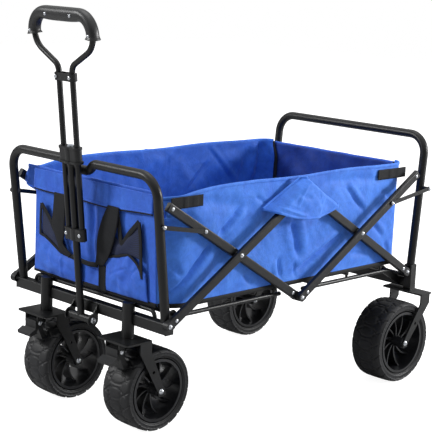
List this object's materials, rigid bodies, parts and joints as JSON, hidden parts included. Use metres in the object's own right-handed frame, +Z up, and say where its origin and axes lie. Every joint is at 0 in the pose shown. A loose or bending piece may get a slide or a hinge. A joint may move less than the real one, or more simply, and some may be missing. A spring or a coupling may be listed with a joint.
{
  "type": "beach cart",
  "caption": "Folding wagon: blue cloth basket on a black scissor frame, sliding pull handle, front casters with brake pedals and wide wheels",
  "frame": {"origin": "centre of the bounding box's footprint, on the ground", "axes": "-X points forwards, towards the pull handle; +Y is the cart's left side; +Z is up"},
  "size_m": [0.9687, 0.607, 0.893],
  "materials": {
    "painted_steel": "satin black powder coat",
    "plastic": "moulded black plastic, fine grain",
    "bright_steel": "zinc-plated rivets and bolts",
    "tyre": "soft black tyre rubber",
    "rim": "moulded dark grey wheel",
    "cloth": "woven polyester, blue",
    "board": "stiffened cloth-covered board",
    "button": "moulded grey push button"
  },
  "bodies": {
    "front_frame": {"front_hoop": "painted_steel", "front_beam": "painted_steel", "front_cross_rod": "painted_steel", "caster_sleeves": "painted_steel", "handle_bracket": "painted_steel", "basket_front": "cloth", "basket_side_left": "cloth", "basket_side_right": "cloth", "basket_floor": "cloth"},
    "front_lower": {"front_lower_bars": "painted_steel", "front_lower_plugs": "plastic", "front_pins": "bright_steel", "top_pins": "bright_steel"},
    "front_upper": {"front_upper_bars": "painted_steel", "front_upper_plugs": "plastic"},
    "rear_lower": {"rear_lower_bars": "painted_steel", "rear_lower_plugs": "plastic", "rear_pins": "bright_steel"},
    "rear_upper": {"rear_upper_bars": "painted_steel", "rear_upper_plugs": "plastic", "bottom_bolts": "bright_steel"},
    "rear_frame": {"rear_hoop": "painted_steel", "rear_beam": "painted_steel", "rear_cross_rod": "painted_steel", "rear_forks": "painted_steel", "rear_axles": "bright_steel", "basket_rear": "cloth"},
    "front_link": {"front_links": "painted_steel"},
    "rear_link": {"rear_links": "painted_steel"},
    "front_floor": {"front_floor_frame": "painted_steel", "front_floor_board": "board"},
    "rear_floor": {"rear_floor_frame": "painted_steel", "rear_floor_board": "board"},
    "handle": {"handle_pole": "painted_steel", "handle_collar": "plastic"},
    "handle_slide": {"sliding_tubes": "painted_steel", "handle_grip": "plastic", "handle_clamp": "plastic", "handle_slider": "plastic"},
    "button": {"lock_button": "button"},
    "caster_left": {"caster_fork_left": "painted_steel", "front_axle_left": "bright_steel"},
    "brake_left": {"brake_pedal_left": "plastic"},
    "front_wheel_left": {"front_tyre_left": "tyre", "front_rim_left": "rim"},
    "rear_wheel_left": {"rear_tyre_left": "tyre", "rear_rim_left": "rim"},
    "caster_right": {"caster_fork_right": "painted_steel", "front_axle_right": "bright_steel"},
    "brake_right": {"brake_pedal_right": "plastic"},
    "front_wheel_right": {"front_tyre_right": "tyre", "front_rim_right": "rim"},
    "rear_wheel_right": {"rear_tyre_right": "tyre", "rear_rim_right": "rim"}
  },
  "joints": [
    {"name": "fold", "type": "hinge", "parent": "front_frame", "child": "front_lower", "pos_m": [-0.38436, 0, 0.26], "axis": [0, -1, 0], "range_deg": [0, 40], "deforming": ["basket_side_left", "basket_side_right", "basket_floor"]},
    {"name": "front_upper_pivot", "type": "hinge", "parent": "front_lower", "child": "front_upper", "pos_m": [-0.18286, 0, 0.383], "axis": [0, -1, 0], "range_deg": [-80, 0]},
    {"name": "rear_lower_pivot", "type": "hinge", "parent": "front_lower", "child": "rear_lower", "pos_m": [0.01864, 0, 0.506], "axis": [0, -1, 0], "range_deg": [-80, 0]},
    {"name": "rear_upper_pivot", "type": "hinge", "parent": "rear_lower", "child": "rear_upper", "pos_m": [0.22014, 0, 0.383], "axis": [0, -1, 0], "range_deg": [0, 80]},
    {"name": "rear_frame_pivot", "type": "hinge", "parent": "rear_lower", "child": "rear_frame", "pos_m": [0.42164, 0, 0.26], "axis": [0, -1, 0], "range_deg": [0, 40]},
    {"name": "front_link_pivot", "type": "hinge", "parent": "front_frame", "child": "front_link", "pos_m": [-0.40029, 0, 0.466], "axis": [0, -1, 0], "range_deg": [0, 80]},
    {"name": "rear_link_pivot", "type": "hinge", "parent": "rear_frame", "child": "rear_link", "pos_m": [0.46376, 0, 0.466], "axis": [0, -1, 0], "range_deg": [-68.8, 0]},
    {"name": "front_floor_pivot", "type": "hinge", "parent": "front_frame", "child": "front_floor", "pos_m": [-0.33136, 0, 0.268], "axis": [0, -1, 0], "range_deg": [0, 88]},
    {"name": "rear_floor_pivot", "type": "hinge", "parent": "rear_frame", "child": "rear_floor", "pos_m": [0.36864, 0, 0.268], "axis": [0, -1, 0], "range_deg": [-88, 0]},
    {"name": "handle_tilt", "type": "hinge", "parent": "front_frame", "child": "handle", "pos_m": [-0.40036, 0, 0.226], "axis": [0, -1, 0], "range_deg": [0, 80]},
    {"name": "handle_slide", "type": "slide", "parent": "handle", "child": "handle_slide", "axis": [-0.1045, 0, 0.9945], "range_m": [-0.13, 0.14]},
    {"name": "button_press", "type": "slide", "parent": "handle", "child": "button", "axis": [0.1045, 0, -0.9945], "range_m": [0, 0.004], "stiffness_N_per_m": 400, "springref_m": -0.002},
    {"name": "caster_turn_left", "type": "hinge", "parent": "front_frame", "child": "caster_left", "pos_m": [-0.38736, 0.1385, 0.209], "axis": [0, 0, 1], "continuous": true},
    {"name": "brake_press_left", "type": "hinge", "parent": "caster_left", "child": "brake_left", "pos_m": [-0.42136, 0.1385, 0.188], "axis": [0, -1, 0], "range_deg": [0, 15]},
    {"name": "front_wheel_turn_left", "type": "hinge", "parent": "caster_left", "child": "front_wheel_left", "pos_m": [-0.33036, 0.1385, 0.091], "axis": [0, 1, 0], "continuous": true},
    {"name": "rear_wheel_turn_left", "type": "hinge", "parent": "rear_frame", "child": "rear_wheel_left", "pos_m": [0.36764, 0.251, 0.099], "axis": [0, 1, 0], "continuous": true},
    {"name": "caster_turn_right", "type": "hinge", "parent": "front_frame", "child": "caster_right", "pos_m": [-0.38736, -0.1385, 0.209], "axis": [0, 0, 1], "continuous": true},
    {"name": "brake_press_right", "type": "hinge", "parent": "caster_right", "child": "brake_right", "pos_m": [-0.42136, -0.1385, 0.188], "axis": [0, -1, 0], "range_deg": [0, 15]},
    {"name": "front_wheel_turn_right", "type": "hinge", "parent": "caster_right", "child": "front_wheel_right", "pos_m": [-0.33036, -0.1385, 0.091], "axis": [0, 1, 0], "continuous": true},
    {"name": "rear_wheel_turn_right", "type": "hinge", "parent": "rear_frame", "child": "rear_wheel_right", "pos_m": [0.36764, -0.251, 0.099], "axis": [0, 1, 0], "continuous": true}
  ],
  "couplings": [
    {"joint": "front_upper_pivot", "follows": "fold", "ratio": -2},
    {"joint": "rear_lower_pivot", "follows": "fold", "ratio": -2},
    {"joint": "rear_upper_pivot", "follows": "fold", "ratio": 2},
    {"joint": "rear_frame_pivot", "follows": "fold", "ratio": 1},
    {"joint": "front_link_pivot", "follows": "fold", "ratio": 2},
    {"joint": "rear_link_pivot", "follows": "fold", "ratio": -1.72},
    {"joint": "front_floor_pivot", "follows": "fold", "ratio": 2.2},
    {"joint": "rear_floor_pivot", "follows": "fold", "ratio": -2.2}
  ]
}
